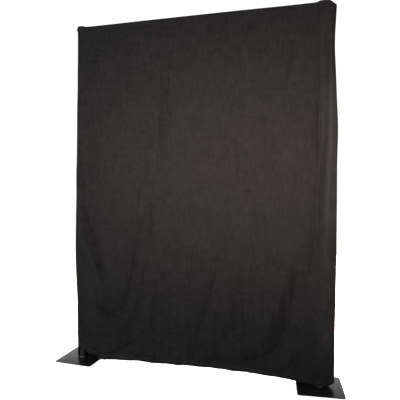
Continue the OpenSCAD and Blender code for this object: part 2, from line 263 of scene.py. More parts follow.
def paint_zinc():
    paint = Paint("zinc_plated_steel")
    place = paint.own_place()
    cloud = paint.noise(place, 60, 3.0, 0.6)
    fine = paint.noise(place, 900, 2.0)
    return paint.surface(
        Base_Color=paint.blend(cloud, (0.48, 0.49, 0.50, 1), (0.66, 0.67, 0.68, 1)),
        Metallic=1.0,
        Roughness=0.26 + cloud * 0.16,
        Normal=paint.bump(fine, 0.08, 0.0002),
    )


def paint_nylon():
    paint = Paint("black_moulded_nylon")
    place = paint.own_place()
    grain = paint.noise(place, 1100, 2.0, 0.6)
    cloud = paint.noise(place, 30, 2.0)
    return paint.surface(
        Base_Color=paint.blend(cloud, grey(0.014), grey(0.024)),
        Roughness=0.42 + grain * 0.16,
        Normal=paint.bump(grain, 0.2, 0.0003),
    )


def paint_rubber():
    paint = Paint("black_rubber")
    place = paint.own_place()
    grain = paint.noise(place, 700, 3.0, 0.7)
    return paint.surface(
        Base_Color=paint.blend(grain, grey(0.02), grey(0.04)),
        Roughness=0.8,
        Normal=paint.bump(grain, 0.25, 0.0003),
    )


def paint_floor():
    paint = Paint("pale_floor")
    place = paint.own_place()
    cloud = paint.noise(place, 1.5, 2.0)
    return paint.surface(
        Base_Color=paint.blend(cloud, grey(0.93), grey(0.96)),
        Roughness=0.7,
        Specular_IOR_Level=0.1,
    )


COTTON = paint_cotton()
THREAD = paint_thread()
POWDER_COAT = paint_powder_coat()
POST_TUBE = paint_anodised("black_anodised_post", 2)
BAR_TUBE = paint_anodised("black_anodised_bar", 0)
FINISHES = {
    "plate_paint": POWDER_COAT,
    "zinc_steel": paint_zinc(),
    "plastic": paint_nylon(),
    "rubber": paint_rubber(),
}


def finish_cad_parts():
    """Gives each CAD piece the finish of its slot, and the tubes one along their length."""
    slots = {part["node"]: part["material_slot"] for part in frame["record"]["subparts"]}
    for name, piece in frame["nodes"].items():
        slot = slots.get(name)
        if slot == "tube":
            material = BAR_TUBE if name.startswith("bar_") else POST_TUBE
        else:
            material = FINISHES.get(slot)
        if material is None:
            continue
        for holder in piece.material_slots:
            holder.material = material
        if not piece.material_slots:
            piece.data.materials.append(material)


finish_cad_parts()


# ---------------------------------------------------------------- shapes

EASED_POINTS = 2401


def eased(table, where, blur):
    """Values of a (place, value) table at the given places, softened over a blur length."""
    places = np.array([row[0] for row in table], float)
    values = np.array([row[1] for row in table], float)
    fine = np.linspace(places[0] - 4 * blur, places[-1] + 4 * blur, EASED_POINTS)
    step = fine[1] - fine[0]
    reach = int(3 * blur / step)
    kernel = np.exp(-0.5 * (np.arange(-reach, reach + 1) * step / blur) ** 2)
    kernel /= kernel.sum()
    spread = np.pad(np.interp(fine, places, values), reach, mode="edge")
    return np.interp(where, fine, np.convolve(spread, kernel, mode="valid"))


# Irregular waves of the hanging cloth, in mm: height, how many of them cross, and their
# length across and up.
BROAD_WAVES = (5.5, 22, (330, 900))
NARROW_WAVES = (1.7, 26, (120, 420))
FINE_WAVES = (0.5, 34, (50, 240))
HEM_PUCKERS = (1.7, 26, (150, 34))
HEM_CRUMPLES = (1.0, 26, (90, 60))


def waves(across, up, kind, seed):
    """Smooth irregular relief from crossing waves of one kind."""
    height, count, (long_across, long_up) = kind
    random = np.random.default_rng(seed)
    relief = np.zeros_like(across)
    for _ in range(count):
        rate_across = random.normal(0, 1) / long_across
        rate_up = random.normal(0, 1) / long_up
        phase = random.uniform(0, 2 * math.pi)
        relief += np.cos(2 * math.pi * (rate_across * across + rate_up * up) + phase)
    return height * relief / math.sqrt(count / 2)


# Every fold is made this many times as tall and as wide as its table below says.
FOLD_TALL = 2.5
FOLD_WIDE = 1.2
# A crevice's line is rounded over this many mm.
CREVICE_FLOOR = 4.0
# Spacing in mm of the points along a fold, and the share of its length where it fades.
FOLD_STEP = 12
FOLD_FADE = 0.12
# How many widths away a fold still lifts the cloth.
FOLD_REACH = 3


def fold_relief(fold, across, up):
    """Height of one fold, which follows a path of (x, z, height, left width, right width)."""
    path = np.array(fold, float)
    lengths = np.hypot(np.diff(path[:, 0]), np.diff(path[:, 1]))
    run = np.concatenate([[0], np.cumsum(lengths)])
    # the path's corners are rounded over half the mean distance between its points
    blur = max(run[-1] / len(path) / 2, 1.0)
    fine = np.linspace(0, run[-1], max(int(run[-1] / FOLD_STEP), 8))
    line = [eased(list(zip(run, path[:, k])), fine, blur) for k in range(5)]
    line[2] *= FOLD_TALL * np.interp(
        fine / run[-1], [0, FOLD_FADE, 1 - FOLD_FADE, 1], [0, 1, 1, 0],
    )
    line[3] *= FOLD_WIDE
    line[4] *= FOLD_WIDE
    reach = FOLD_REACH * FOLD_WIDE * max(path[:, 3].max(), path[:, 4].max())
    near = (
        (across > path[:, 0].min() - reach) & (across < path[:, 0].max() + reach)
        & (up > path[:, 1].min() - reach) & (up < path[:, 1].max() + reach)
    )
    relief = np.zeros_like(across)
    x, z = across[near], up[near]
    gap_x = x[:, None] - line[0][None, :]
    gap_z = z[:, None] - line[1][None, :]
    nearest = np.argmin(gap_x ** 2 + gap_z ** 2, axis=1)
    slope_x, slope_z = np.gradient(line[0])[nearest], np.gradient(line[1])[nearest]
    rows = np.arange(len(nearest))
    dx, dz = gap_x[rows, nearest], gap_z[rows, nearest]
    on_left = slope_x * dz - slope_z * dx > 0
    width = np.where(on_left, line[3][nearest], line[4][nearest])
    away = np.sqrt(dx ** 2 + dz ** 2)
    ridge = np.exp(-(away / width) ** 2)
    crevice = np.exp(-np.sqrt(away ** 2 + CREVICE_FLOOR ** 2) / width)
    relief[near] = line[2][nearest] * np.where(line[2][nearest] > 0, ridge, crevice)
    return relief


# Folds of the front, each from its lower end up or from left to right, as points of
# (across, up, height, left width, right width). Places are in mm. Heights and widths
# are also in mm, before FOLD_TALL and FOLD_WIDE. A negative height is a crevice and a
# positive one a ridge.
FRONT_FOLDS = [
    # the long slack fold beside the left post, with its ridge on the outer side
    [(-640, 540, 0, 14, 14), (-645, 606, -7, 14, 20), (-665, 691, -11, 14, 24),
     (-692, 776, -14, 15, 28), (-732, 897, -16, 16, 30), (-766, 995, -15, 16, 32),
     (-799, 1105, -10, 16, 32), (-825, 1200, 0, 16, 30)],
    [(-640, 480, 0, 24, 18), (-666, 568, 5, 26, 18), (-706, 676, 8, 26, 18),
     (-747, 773, 9, 28, 18), (-801, 882, 8, 26, 18), (-828, 993, 5, 24, 18),
     (-845, 1080, 0, 22, 18)],
    # a thin crevice outside it
    [(-725, 630, 0, 9, 9), (-740, 662, -6, 9, 9), (-768, 698, -8, 9, 9),
     (-802, 752, -8, 9, 9), (-829, 806, -6, 9, 9), (-850, 860, 0, 9, 9)],
    # the shallow crevice above it
    [(-800, 1170, 0, 20, 20), (-805, 1250, -7, 18, 18), (-825, 1400, -9, 18, 18),
     (-845, 1500, -8, 18, 18), (-862, 1680, 0, 18, 18)],
    # the swag that hangs from the middle and turns up to the left post
    [(-740, 520, 0, 40, 15), (-708, 441, -14, 46, 15), (-660, 370, -20, 54, 16),
     (-593, 339, -21, 58, 16), (-526, 363, -20, 50, 15), (-482, 422, -18, 40, 15),
     (-453, 558, -17, 34, 14), (-420, 705, -16, 32, 14), (-400, 826, -13, 30, 14),
     (-374, 947, -11, 28, 14), (-354, 1066, -8, 24, 14), (-345, 1170, 0, 20, 15)],
    [(-860, 262, 0, 26, 40), (-806, 257, 6, 26, 42), (-681, 262, 10, 28, 44),
     (-586, 245, 12, 28, 46), (-493, 290, 12, 26, 46), (-440, 364, 11, 24, 42),
     (-395, 514, 10, 22, 38), (-365, 672, 8, 20, 36), (-318, 949, 4, 20, 34),
     (-297, 1068, 0, 20, 34)],
    # small folds over the left part of the hem
    [(-620, 50, 0, 20, 12), (-567, 69, -11, 30, 12), (-494, 114, -15, 34, 12),
     (-415, 160, -12, 28, 12), (-330, 190, 0, 22, 12)],
    [(-790, 118, 0, 18, 22), (-745, 100, 6, 18, 22), (-655, 70, 7, 18, 20),
     (-590, 58, 0, 18, 20)],
    [(-500, 50, 0, 18, 20), (-440, 72, 7, 18, 22), (-375, 112, 6, 18, 22),
     (-330, 140, 0, 18, 20)],
    # hollows under the left part of the top
    [(-700, 2030, 0, 20, 20), (-700, 2120, -5, 20, 20), (-701, 2230, -5, 20, 20),
     (-700, 2300, 0, 20, 20)],
    [(-740, 2325, 0, 36, 36), (-660, 2330, -5, 40, 34), (-590, 2335, 0, 36, 36)],
    # the long crevice left of the middle
    [(-222, 1280, 0, 20, 16), (-214, 1380, -7, 22, 16), (-200, 1460, -11, 22, 15),
     (-189, 1580, -13, 22, 14), (-172, 1700, -9, 22, 15), (-163, 1830, -7, 22, 16),
     (-152, 1950, -7, 22, 16), (-148, 2100, -7, 20, 15), (-147, 2200, -5, 18, 15),
     (-147, 2290, 0, 18, 15)],
    [(-262, 1420, 0, 34, 26), (-250, 1560, 6, 34, 24), (-235, 1700, 7, 36, 24),
     (-228, 1850, 7, 36, 24), (-228, 2000, 6, 36, 24), (-228, 2160, 0, 34, 24)],
    # folds that run on below it
    [(-420, 1160, 0, 30, 28), (-400, 1250, 7, 30, 28), (-350, 1320, 8, 28, 26),
     (-330, 1430, 7, 26, 24), (-318, 1530, 0, 24, 22)],
    [(-255, 860, 0, 14, 16), (-262, 980, -5, 15, 16), (-270, 1120, -5, 15, 16),
     (-280, 1260, 0, 14, 16)],
    [(-312, 900, 0, 22, 22), (-310, 1000, 5, 22, 20), (-310, 1110, 5, 22, 20),
     (-312, 1210, 0, 22, 20)],
    # slight vertical ripples of the middle
    [(126, 1380, 0, 12, 12), (133, 1460, -6, 12, 12), (142, 1590, 0, 12, 12)],
    [(330, 1320, 0, 10, 11), (325, 1400, -6, 10, 11), (322, 1500, -7, 10, 11),
     (320, 1640, 0, 10, 11)],
    [(10, 980, 0, 14, 16), (18, 1100, -4, 14, 16), (22, 1300, -4, 14, 16),
     (20, 1480, 0, 14, 16)],
    [(-120, 1350, 0, 13, 13), (-112, 1480, -4, 13, 13), (-105, 1640, 0, 13, 13)],
    [(455, 1000, 0, 16, 18), (448, 1150, -5, 16, 18), (445, 1330, 0, 16, 18)],
    [(560, 1250, 0, 16, 16), (552, 1450, -4, 16, 16), (548, 1700, 0, 16, 16)],
    [(700, 1150, 0, 16, 18), (692, 1350, -5, 16, 18), (690, 1560, 0, 16, 18)],
    # the broad folds low in the middle
    [(55, 220, 0, 36, 16), (81, 319, -9, 38, 16), (116, 427, -12, 38, 15),
     (145, 544, -12, 36, 15), (174, 661, -10, 32, 15), (191, 742, -7, 30, 15),
     (203, 860, 0, 28, 15)],
    [(190, 220, 0, 26, 40), (232, 335, 6, 26, 42), (250, 427, 7, 26, 42),
     (264, 530, 7, 26, 42), (278, 633, 5, 26, 40), (290, 760, 0, 26, 38)],
    [(392, 200, 0, 30, 18), (382, 280, -6, 32, 18), (387, 393, -7, 32, 18),
     (366, 527, -5, 28, 18), (352, 640, 0, 26, 18)],
    [(-150, 330, 0, 18, 20), (-136, 460, -8, 18, 20), (-122, 620, -7, 18, 20),
     (-112, 820, 0, 18, 20)],
    [(-300, 250, 0, 34, 26), (-292, 380, 7, 34, 26), (-286, 540, 6, 32, 26),
     (-276, 700, 0, 30, 26)],
    # short folds over the middle of the hem
    [(-30, 170, 0, 13, 14), (30, 172, -8, 13, 14), (90, 158, -8, 13, 14),
     (150, 140, 0, 13, 14)],
    [(-10, 150, 0, 13, 13), (35, 142, -6, 13, 13), (85, 108, 0, 13, 13)],
    [(20, 84, 0, 16, 18), (80, 74, 6, 16, 18), (150, 80, 0, 16, 18)],
    # the strong fold that swings from the right post down to the hem
    [(60, 90, 0, 18, 12), (150, 94, -9, 28, 13), (304, 98, -14, 40, 13),
     (451, 129, -15, 42, 15), (561, 185, -17, 46, 15), (612, 262, -17, 44, 14),
     (634, 345, -15, 40, 13), (655, 429, -13, 36, 13), (675, 518, -12, 32, 13),
     (695, 607, -11, 28, 13), (707, 695, -9, 24, 13), (716, 782, -6, 20, 13),
     (722, 870, 0, 18, 13)],
    [(470, 250, 0, 46, 36), (505, 300, 5, 48, 36), (543, 386, 7, 48, 36),
     (572, 499, 7, 46, 34), (602, 612, 6, 42, 32), (632, 712, 4, 38, 30),
     (655, 830, 0, 34, 28)],
    [(370, 62, 0, 18, 24), (420, 76, 7, 18, 26), (507, 90, 10, 20, 30),
     (590, 116, 11, 22, 34), (665, 190, 8, 22, 36), (702, 290, 5, 22, 36),
     (718, 390, 0, 22, 34)],
    [(480, 236, 0, 12, 12), (512, 240, -9, 12, 12), (560, 272, 0, 12, 12)],
    # the crease over the right post
    [(745, 500, 0, 28, 20), (759, 568, -6, 28, 20), (779, 645, -9, 28, 20),
     (793, 754, -12, 28, 20), (809, 862, -14, 28, 20), (822, 969, -16, 28, 20),
     (830, 1250, -17, 28, 20), (836, 1500, -17, 28, 20), (846, 1800, -18, 26, 20),
     (853, 2000, -18, 24, 18), (853, 2200, -17, 24, 18), (852, 2330, -10, 24, 18),
     (852, 2400, 0, 24, 18)],
    [(798, 1460, 0, 11, 11), (800, 1560, -6, 11, 11), (805, 1790, 0, 11, 11)],
    # the roll of slack cloth beyond the right post
    [(888, 110, 0, 34, 36), (886, 250, 6, 34, 36), (882, 438, 8, 32, 36),
     (876, 652, 10, 32, 34), (873, 865, 11, 30, 34), (876, 1024, 12, 28, 34),
     (884, 1300, 13, 26, 30), (894, 1500, 13, 24, 28), (898, 1800, 12, 22, 22),
     (898, 2000, 10, 22, 22), (900, 2150, 8, 20, 20), (902, 2350, 0, 20, 20)],
    # pulls under the right part of the top
    [(606, 1740, 0, 22, 22), (640, 1950, -8, 20, 20), (668, 2100, -10, 16, 16),
     (684, 2200, -9, 14, 14), (691, 2320, 0, 12, 12)],
    [(640, 2170, 0, 9, 9), (643, 2240, -5, 9, 9), (646, 2320, 0, 9, 9)],
    [(730, 2080, 0, 12, 12), (738, 2200, -4, 12, 12), (742, 2330, 0, 12, 12)],
    [(500, 2120, 0, 12, 12), (503, 2220, -4, 12, 12), (505, 2330, 0, 12, 12)],
    [(572, 2100, 0, 12, 12), (576, 2210, -4, 12, 12), (579, 2330, 0, 12, 12)],
]

# Folds of the back, in the same way.
BACK_FOLDS = [
    [(-700, 300, 0, 50, 22), (-660, 520, 14, 54, 22), (-640, 800, 15, 54, 22),
     (-625, 1200, 10, 50, 24), (-615, 1700, 6, 46, 26), (-610, 2200, 0, 40, 30)],
    [(-420, 180, 0, 22, 56), (-380, 420, 12, 22, 58), (-350, 760, 12, 24, 56),
     (-335, 1150, 7, 26, 50), (-330, 1600, 0, 30, 46)],
    [(-60, 120, 0, 50, 26), (-40, 380, 11, 54, 24), (-10, 760, 12, 54, 24),
     (5, 1300, 8, 50, 24), (10, 1900, 5, 44, 26), (12, 2300, 0, 40, 30)],
    [(330, 100, 0, 26, 60), (300, 360, 12, 24, 60), (290, 700, 12, 24, 56),
     (280, 1100, 7, 26, 50), (276, 1500, 0, 30, 46)],
    [(640, 200, 0, 50, 24), (610, 460, 14, 56, 22), (600, 820, 14, 54, 22),
     (592, 1250, 9, 50, 24), (588, 1750, 5, 46, 26), (586, 2200, 0, 40, 30)],
    [(-560, 120, 0, 20, 46), (-480, 110, 10, 20, 46), (-380, 130, 9, 20, 44),
     (-300, 170, 0, 20, 40)],
    [(380, 150, 0, 46, 20), (470, 110, 10, 46, 20), (560, 105, 9, 44, 20),
     (640, 130, 0, 40, 20)],
    [(-230, 700, 0, 16, 16), (-215, 900, -9, 16, 16), (-205, 1250, -8, 16, 16),
     (-200, 1650, 0, 16, 16)],
    [(150, 800, 0, 15, 15), (140, 1050, -8, 15, 15), (132, 1450, -7, 15, 15),
     (130, 1900, 0, 15, 15)],
    [(470, 900, 0, 15, 15), (462, 1150, -8, 15, 15), (455, 1500, -6, 15, 15),
     (450, 1900, 0, 15, 15)],
]

# The sleeve's outline in mm. Its outer edges, as (height, place across).
LEFT_EDGE = [(60, -891), (124, -891), (276, -886), (420, -890), (577, -896), (720, -901),
             (878, -899), (1020, -895), (1176, -889), (1545, -885), (1800, -880),
             (1960, -873), (2100, -872), (2201, -871), (2414, -873)]
RIGHT_EDGE = [(40, 944), (119, 944), (312, 942), (568, 946), (780, 947), (885, 945),
              (1200, 944), (1450, 941), (1650, 946), (1820, 935), (2005, 927), (2160, 916),
              (2282, 919), (2414, 927)]
# How far in from the right edge the cloth begins to turn back, as (height, distance).
RIGHT_ROLL = [(0, 88), (300, 85), (900, 66), (1500, 46), (2200, 30), (2414, 22)]
# Where the hem turns under on each side, as (place across, height).
FRONT_HEM = [(-910, 9), (-889, 9), (-884, 40), (-878, 76), (-871, 88), (-850, 82),
             (-829, 71), (-780, 54), (-745, 50), (-722, 46), (-708, 32), (-694, 17),
             (-680, 15), (-600, 23), (-497, 31), (-400, 40), (-300, 35), (-200, 37),
             (-120, 44), (-30, 54), (64, 53), (190, 45), (373, 55), (480, 54), (590, 48),
             (710, 36), (795, 27), (832, 24), (843, 8), (854, 23), (887, 25), (918, 28),
             (935, 38), (950, 46)]
BACK_HEM = [(-910, 7.4), (-860, 7.4), (-700, 7.6), (-640, 22), (-400, 27), (-150, 38),
            (100, 33), (350, 28), (600, 32), (690, 16), (720, 9), (880, 9),
            (915, 14), (935, 30), (950, 40)]
# How far the cloth hangs out from the bar's middle plane, as (height, distance).
STAND_OFF = [(0, 34), (120, 38), (320, 48), (800, 50), (1500, 41), (2100, 31), (2414, 24)]
# Where the cloth starts to close over the bar, as (place across, height), and how far
# its crest rises above that, as (place across, rise).
TOP_LINE = [(-905, 2413.8), (886, 2413.8), (900, 2410), (914, 2402), (926, 2394),
            (945, 2385)]
TOP_RISE = [(-890, 12), (-880, 13.5), (-873, 17.6), (-800, 19.6), (-760, 18.6), (-600, 18.6),
            (-300, 20), (0, 20), (300, 20), (600, 17.6), (780, 18.2), (830, 19.4),
            (870, 19.6), (889, 18), (905, 14.6), (926, 12)]
# How strong the loose waves, the crumples by the hem and the bar's hold on the cloth
# are, as (height, share).
SLACK = [(0, 1.0), (900, 0.85), (1700, 0.6), (2300, 0.35), (2414, 0)]
CRUMPLE = [(0, 0), (50, 1), (330, 1), (560, 0.25), (900, 0)]
BAR_HOLD = [(2180, 0), (2320, 0.5), (2395, 1), (2414, 1)]
# Lengths in mm over which the corners of these tables are rounded. The crest's rise
# takes the hem's.
EDGE_BLUR = 60
ROLL_BLUR = 100
CRUMPLE_BLUR = 30
HOLD_BLUR = 18
TOP_BLUR = 6
HEM_BLUR = 3
# Middle and reach of the stretch of hem that puckers most.
PUCKER_MIDDLE = -200
PUCKER_REACH = 260


class Sleeve:
    """The cloth sleeve as two grids of points, one row of points per height. Its sizes
    are in mm, and its points come out in metres."""

    # Steps round the left edge, round the right edge and from the bar's side to its crest.
    edge_steps = 11
    roll_steps = 17
    bar_turns = 7
    # Spacing of the rows up to the dense height and above it.
    low_step = 8.0
    high_step = 11.0
    dense_height = 640.0
    # Gap between a post and the cloth, and the least half depth of the sleeve.
    post_gap = 2.6
    least_depth = 4.0
    # How softly the least half depth takes over, in square mm.
    softness = 6
    # Half depth over the bar, and how much is added over a saddle.
    bar_depth = 17.6
    saddle_depth = 4.6
    saddle_flat = 30
    saddle_far = 70
    # The crest's rise over a thumb nut, flat over its top and gone further out.
    nut_rise = 22.9
    nut_flat = 15
    nut_far = 60
    # Power of the crest's curve: two is round, and more is squarer over a nut.
    round_power = 2
    square_power = 5
    square_flat = 20
    square_far = 42
    # The doubled hem's height, the thickness it adds and the step at its upper edge.
    hem_tall = 29
    hem_thick = 0.9
    hem_step = 3
    # The turned-in hem, as (height above its fold, distance inwards).
    hem_drop = 1.6
    hem_turn = [(28, 1.5), (20, 2.2), (10, 2.4), (1.6, 2.4), (0.5, 1.9), (0, 1.2)]

    def __init__(self):
        self.post_x = (LEFT_POST_X / MM, RIGHT_POST_X / MM)
        self.axis = BAR_AXIS / MM
        low = np.arange(0, self.dense_height, self.low_step)
        high = np.arange(self.dense_height, self.axis, self.high_step)
        self.shares = np.append(np.concatenate([low, high]) / self.axis, 1.0)

    def columns(self, middle_steps):
        """Place across and turn of the outline for each column and height."""
        height = self.shares * self.axis
        left = eased(LEFT_EDGE, height, EDGE_BLUR)
        right = eased(RIGHT_EDGE, height, EDGE_BLUR)
        roll = eased(RIGHT_ROLL, height, ROLL_BLUR)
        start = np.full_like(left, self.post_x[0])
        turn_in = np.linspace(0, math.pi / 2, self.edge_steps + 1)[:-1]
        turn_out = np.linspace(math.pi / 2, 0, self.roll_steps + 1)[1:]
        middle = np.linspace(0, 1, middle_steps + 1)
        across = np.concatenate([
            start[:, None] - (start - left)[:, None] * np.cos(turn_in),
            start[:, None] + (right - roll - start)[:, None] * middle,
            (right - roll)[:, None] + roll[:, None] * np.cos(turn_out),
        ], axis=1)
        turn = np.concatenate([turn_in, np.full(len(middle), math.pi / 2), turn_out])
        return across, np.broadcast_to(turn, across.shape)

    def clearance(self, across):
        """Least depth of the cloth where it passes the posts."""
        reach = POST_RADIUS / MM + self.post_gap
        least = np.full_like(across, self.least_depth ** 2)
        for post in self.post_x:
            least = np.maximum(least, reach ** 2 - (across - post) ** 2)
        return np.sqrt(least)

    def near_posts(self, across, flat, far):
        """One up to a flat distance from a post, and smoothly down to none far from it."""
        nearness = np.zeros_like(across)
        for post in self.post_x:
            away = np.abs(across - post)
            nearness = np.maximum(nearness, np.interp(away, [flat, far], [1, 0]))
        return nearness * nearness * (3 - 2 * nearness)

    def relief(self, across, up, folds, seed):
        """How far the hanging cloth stands out from the bar's middle, in mm."""
        depth = eased(STAND_OFF, up, EDGE_BLUR)
        for fold in folds:
            depth += fold_relief(fold, across, up)
        slack = eased(SLACK, up, EDGE_BLUR)
        depth += slack * waves(across, up, BROAD_WAVES, seed)
        depth += slack * waves(across, up, NARROW_WAVES, seed + 1)
        depth += waves(across, up, FINE_WAVES, seed + 2)
        crumple = eased(CRUMPLE, up, CRUMPLE_BLUR)
        centre = np.exp(-((across - PUCKER_MIDDLE) / PUCKER_REACH) ** 2)
        depth += crumple * centre * waves(across, up, HEM_PUCKERS, seed + 3)
        depth += crumple * waves(across, up, HEM_CRUMPLES, seed + 4)
        return depth

    def panel(self, facing, middle_steps, folds, seed, hem):
        """Points of one side from inside its hem up to the seam on the bar's crest.
        Facing is -1 for the front and 1 for the back."""
        across, turn = self.columns(middle_steps)
        foot = eased(hem, across[0], HEM_BLUR)
        line = eased(TOP_LINE, across[-1], TOP_BLUR)
        up = foot + (line - foot) * self.shares[:, None]
        depth = self.relief(across, up, folds, seed)
        hold = eased(BAR_HOLD, up, HOLD_BLUR)
        saddle = self.near_posts(across, self.saddle_flat, self.saddle_far)
        snug = self.bar_depth + self.saddle_depth * saddle
        depth = depth * (1 - hold) + snug * hold
        depth += self.hem_thick * np.clip((foot + self.hem_tall - up) / self.hem_step, 0, 1)
        least = self.clearance(across)
        depth = (depth + least + np.sqrt((depth - least) ** 2 + self.softness)) / 2
        sides = np.stack([across, facing * depth * np.sin(turn), up], -1)
        inside = self.turned_hem(facing, across[0], depth[0], up[0], turn[0])
        crest = self.over_bar(facing, across[-1], depth[-1], line, turn[-1])
        return np.concatenate([inside, sides, crest]) * MM

    def turned_hem(self, facing, across, depth, up, turn):
        """The cloth turned in and up inside the hem, from the inside down to the fold."""
        out = np.where(across < 0, -1, 1) * np.cos(turn)
        rows = []
        for rise, inward in self.hem_turn:
            x = across - out * inward
            y = facing * (depth - inward) * np.sin(turn)
            rows.append(np.stack([x, y, up + rise - self.hem_drop], -1))
        return np.array(rows)

    def over_bar(self, facing, across, depth, line, turn):
        """Rows from the side of the bar up to its crest: round, and squarer over the nuts."""
        rise = eased(TOP_RISE, across, HEM_BLUR)
        nut = self.near_posts(across, self.nut_flat, self.nut_far)
        rise = rise * (1 - nut) + self.nut_rise * nut
        square = self.near_posts(across, self.square_flat, self.square_far)
        power = self.round_power + self.square_power * square
        rows = []
        for step in range(1, self.bar_turns + 1):
            angle = math.pi / 2 * step / self.bar_turns
            ahead, rising = max(math.cos(angle), 0.0), math.sin(angle)
            reach = (ahead ** power + rising ** power) ** (-1 / power)
            y = facing * ahead * reach * depth * np.sin(turn)
            rows.append(np.stack([across, y, line + rising * reach * rise], -1))
        return np.array(rows)


def cloth_lengths(points):
    """Length along the cloth at each column and each row."""
    middle = points[:, points.shape[1] // 2]
    along = np.linalg.norm(np.diff(middle, axis=0), axis=1)
    row = points[points.shape[0] // 4]
    across = np.linalg.norm(np.diff(row, axis=0), axis=1)
    return np.append(0, np.cumsum(across)), np.append(0, np.cumsum(along))


def cloth_mesh(points, name, facing):
    """A mesh through a grid of points, with its cloth lengths as a UV map."""
    rows, columns = points.shape[:2]
    across, along = cloth_lengths(points)
    shape = bmesh.new()
    layer = shape.loops.layers.uv.new("cloth")
    corners = [[shape.verts.new(point) for point in row] for row in points]
    for i in range(rows - 1):
        for j in range(columns - 1):
            places = [(j, i), (j + 1, i), (j + 1, i + 1), (j, i + 1)]
            if facing > 0:
                places.reverse()
            face = shape.faces.new([corners[row][column] for column, row in places])
            face.smooth = True
            for loop, (column, row) in zip(face.loops, places):
                loop[layer].uv = (across[column], along[row])
    mesh = bpy.data.meshes.new(name)
    shape.to_mesh(mesh)
    shape.free()
    return mesh


def add_piece(mesh, name, material):
    piece = bpy.data.objects.new(name, mesh)
    bpy.context.collection.objects.link(piece)
    mesh.materials.append(material)
    return piece


COVER_NODES = [name for name in frame["nodes"] if name.startswith("cover_")]
FRONT_NODES = ["cover_front", "cover_front_hem", "cover_left_side", "cover_top"]
BACK_NODES = [name for name in COVER_NODES if name not in FRONT_NODES]


def make_panel(name, points, facing, nodes):
    """One side of the cover. It meets the other along its edges and the bar's crest."""
    piece = add_piece(cloth_mesh(points, name, facing), name, COTTON)
    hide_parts(*nodes)
    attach(piece, "cover")
    return piece


# Columns between the edges' turns, and the seed of the waves, on each side.
FRONT_COLUMNS = 330
BACK_COLUMNS = 190
FRONT_SEED = 11
BACK_SEED = 47

sleeve = Sleeve()
front_points = sleeve.panel(-1, FRONT_COLUMNS, FRONT_FOLDS, FRONT_SEED, FRONT_HEM)
back_points = sleeve.panel(1, BACK_COLUMNS, BACK_FOLDS, BACK_SEED, BACK_HEM)
front_cloth = make_panel("cloth_front", front_points, -1, FRONT_NODES)
back_cloth = make_panel("cloth_back", back_points, 1, BACK_NODES)


# ---------------------------------------------------------------- hem stitches

def hem_line(sleeve, points, rise):
    """The line along one side of the sleeve at one height in mm above its hem."""
    turned = len(sleeve.hem_turn)
    side = points[turned:turned + len(sleeve.shares)]
    line = []
    for column in range(side.shape[1]):
        tall = side[:, column, 2] - side[0, column, 2]
        line.append([np.interp(rise * MM, tall, side[:, column, k]) for k in range(3)])
    return np.array(line)


STITCH_RISE = 25
STITCH_PITCH = 0.0046
STITCH_LENGTH = 0.0034
STITCH_RADIUS = 0.00035
STITCH_SIDES = 5
# How far each way a loop looks along the line to find its direction, and the share of
# its radius that its middle stands out of the cloth.
STITCH_LOOK = 0.004
STITCH_PROUD = 0.4
# A loop as rings of (place along its length, share of its full thickness).
STITCH_RINGS = [(-0.5, 0.35), (-0.3, 1.0), (0.3, 1.0), (0.5, 0.35)]


def make_stitches(name, line, facing):
    """Short thread loops laid along a line on one side of the cloth."""
    run = np.append(0, np.cumsum(np.linalg.norm(np.diff(line, axis=0), axis=1)))
    shape = bmesh.new()
    for centre in np.arange(STITCH_PITCH, run[-1] - STITCH_PITCH, STITCH_PITCH):
        ends = [
            Vector([np.interp(centre + step, run, line[:, k]) for k in range(3)])
            for step in (-STITCH_LOOK, 0.0, STITCH_LOOK)
        ]
        ahead = (ends[2] - ends[0]).normalized()
        out = ahead.cross(Vector((0, 0, -facing))).normalized()
        up = out.cross(ahead)
        previous = None
        for share, thickness in STITCH_RINGS:
            middle = ends[1] + ahead * share * STITCH_LENGTH
            middle = middle + out * STITCH_RADIUS * STITCH_PROUD
            ring = []
            for k in range(STITCH_SIDES):
                angle = 2 * math.pi * k / STITCH_SIDES
                arm = out * math.cos(angle) + up * math.sin(angle)
                ring.append(shape.verts.new(middle + arm * STITCH_RADIUS * thickness))
            if previous is None:
                shape.faces.new(ring[::-1])
            else:
                for k in range(STITCH_SIDES):
                    after = (k + 1) % STITCH_SIDES
                    shape.faces.new((previous[k], previous[after], ring[after], ring[k]))
            previous = ring
        shape.faces.new(previous)
    bmesh.ops.recalc_face_normals(shape, faces=shape.faces)
    mesh = bpy.data.meshes.new(name)
    shape.to_mesh(mesh)
    shape.free()
    piece = add_piece(mesh, name, THREAD)
    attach(piece, "cover")
    return piece


def sew_hem(side, points, facing):
    """The row of stitches that holds the turned hem of one side."""
    line = hem_line(sleeve, points, STITCH_RISE)
    stitches = make_stitches(side + "_hem_stitches", line, facing)


sew_hem("front", front_points, -1)
sew_hem("back", back_points, 1)


# ---------------------------------------------------------------- base plates

def select_only(piece):
    bpy.ops.object.select_all(action="DESELECT")
    bpy.context.view_layer.objects.active = piece
    piece.select_set(True)


def apply_modifiers(piece):
    select_only(piece)
    for modifier in list(piece.modifiers):
        bpy.ops.object.modifier_apply(modifier=modifier.name)


def apply_place(piece):
    select_only(piece)
    bpy.ops.object.transform_apply(location=True, rotation=True, scale=True)


PLATE_SIDE = 0.290
PLATE_CORNER = 0.016
PLATE_EDGE = 0.0009
# Each plate stands turned a little on its pin, in degrees.
LEFT_PLATE_TURN = -1.8
RIGHT_PLATE_TURN = 5.7
# Radius of the screw's hole and of its countersink, and how deep the countersink goes.
SCREW_HOLE = 0.0042
SCREW_HEAD = 0.0082
SCREW_HEAD_DEEP = 0.004
HOLE_SIDES = 40
# The countersink's cutter stands this far out of the plate, so that no skin is left.
CUTTER_PROUD = 0.00001


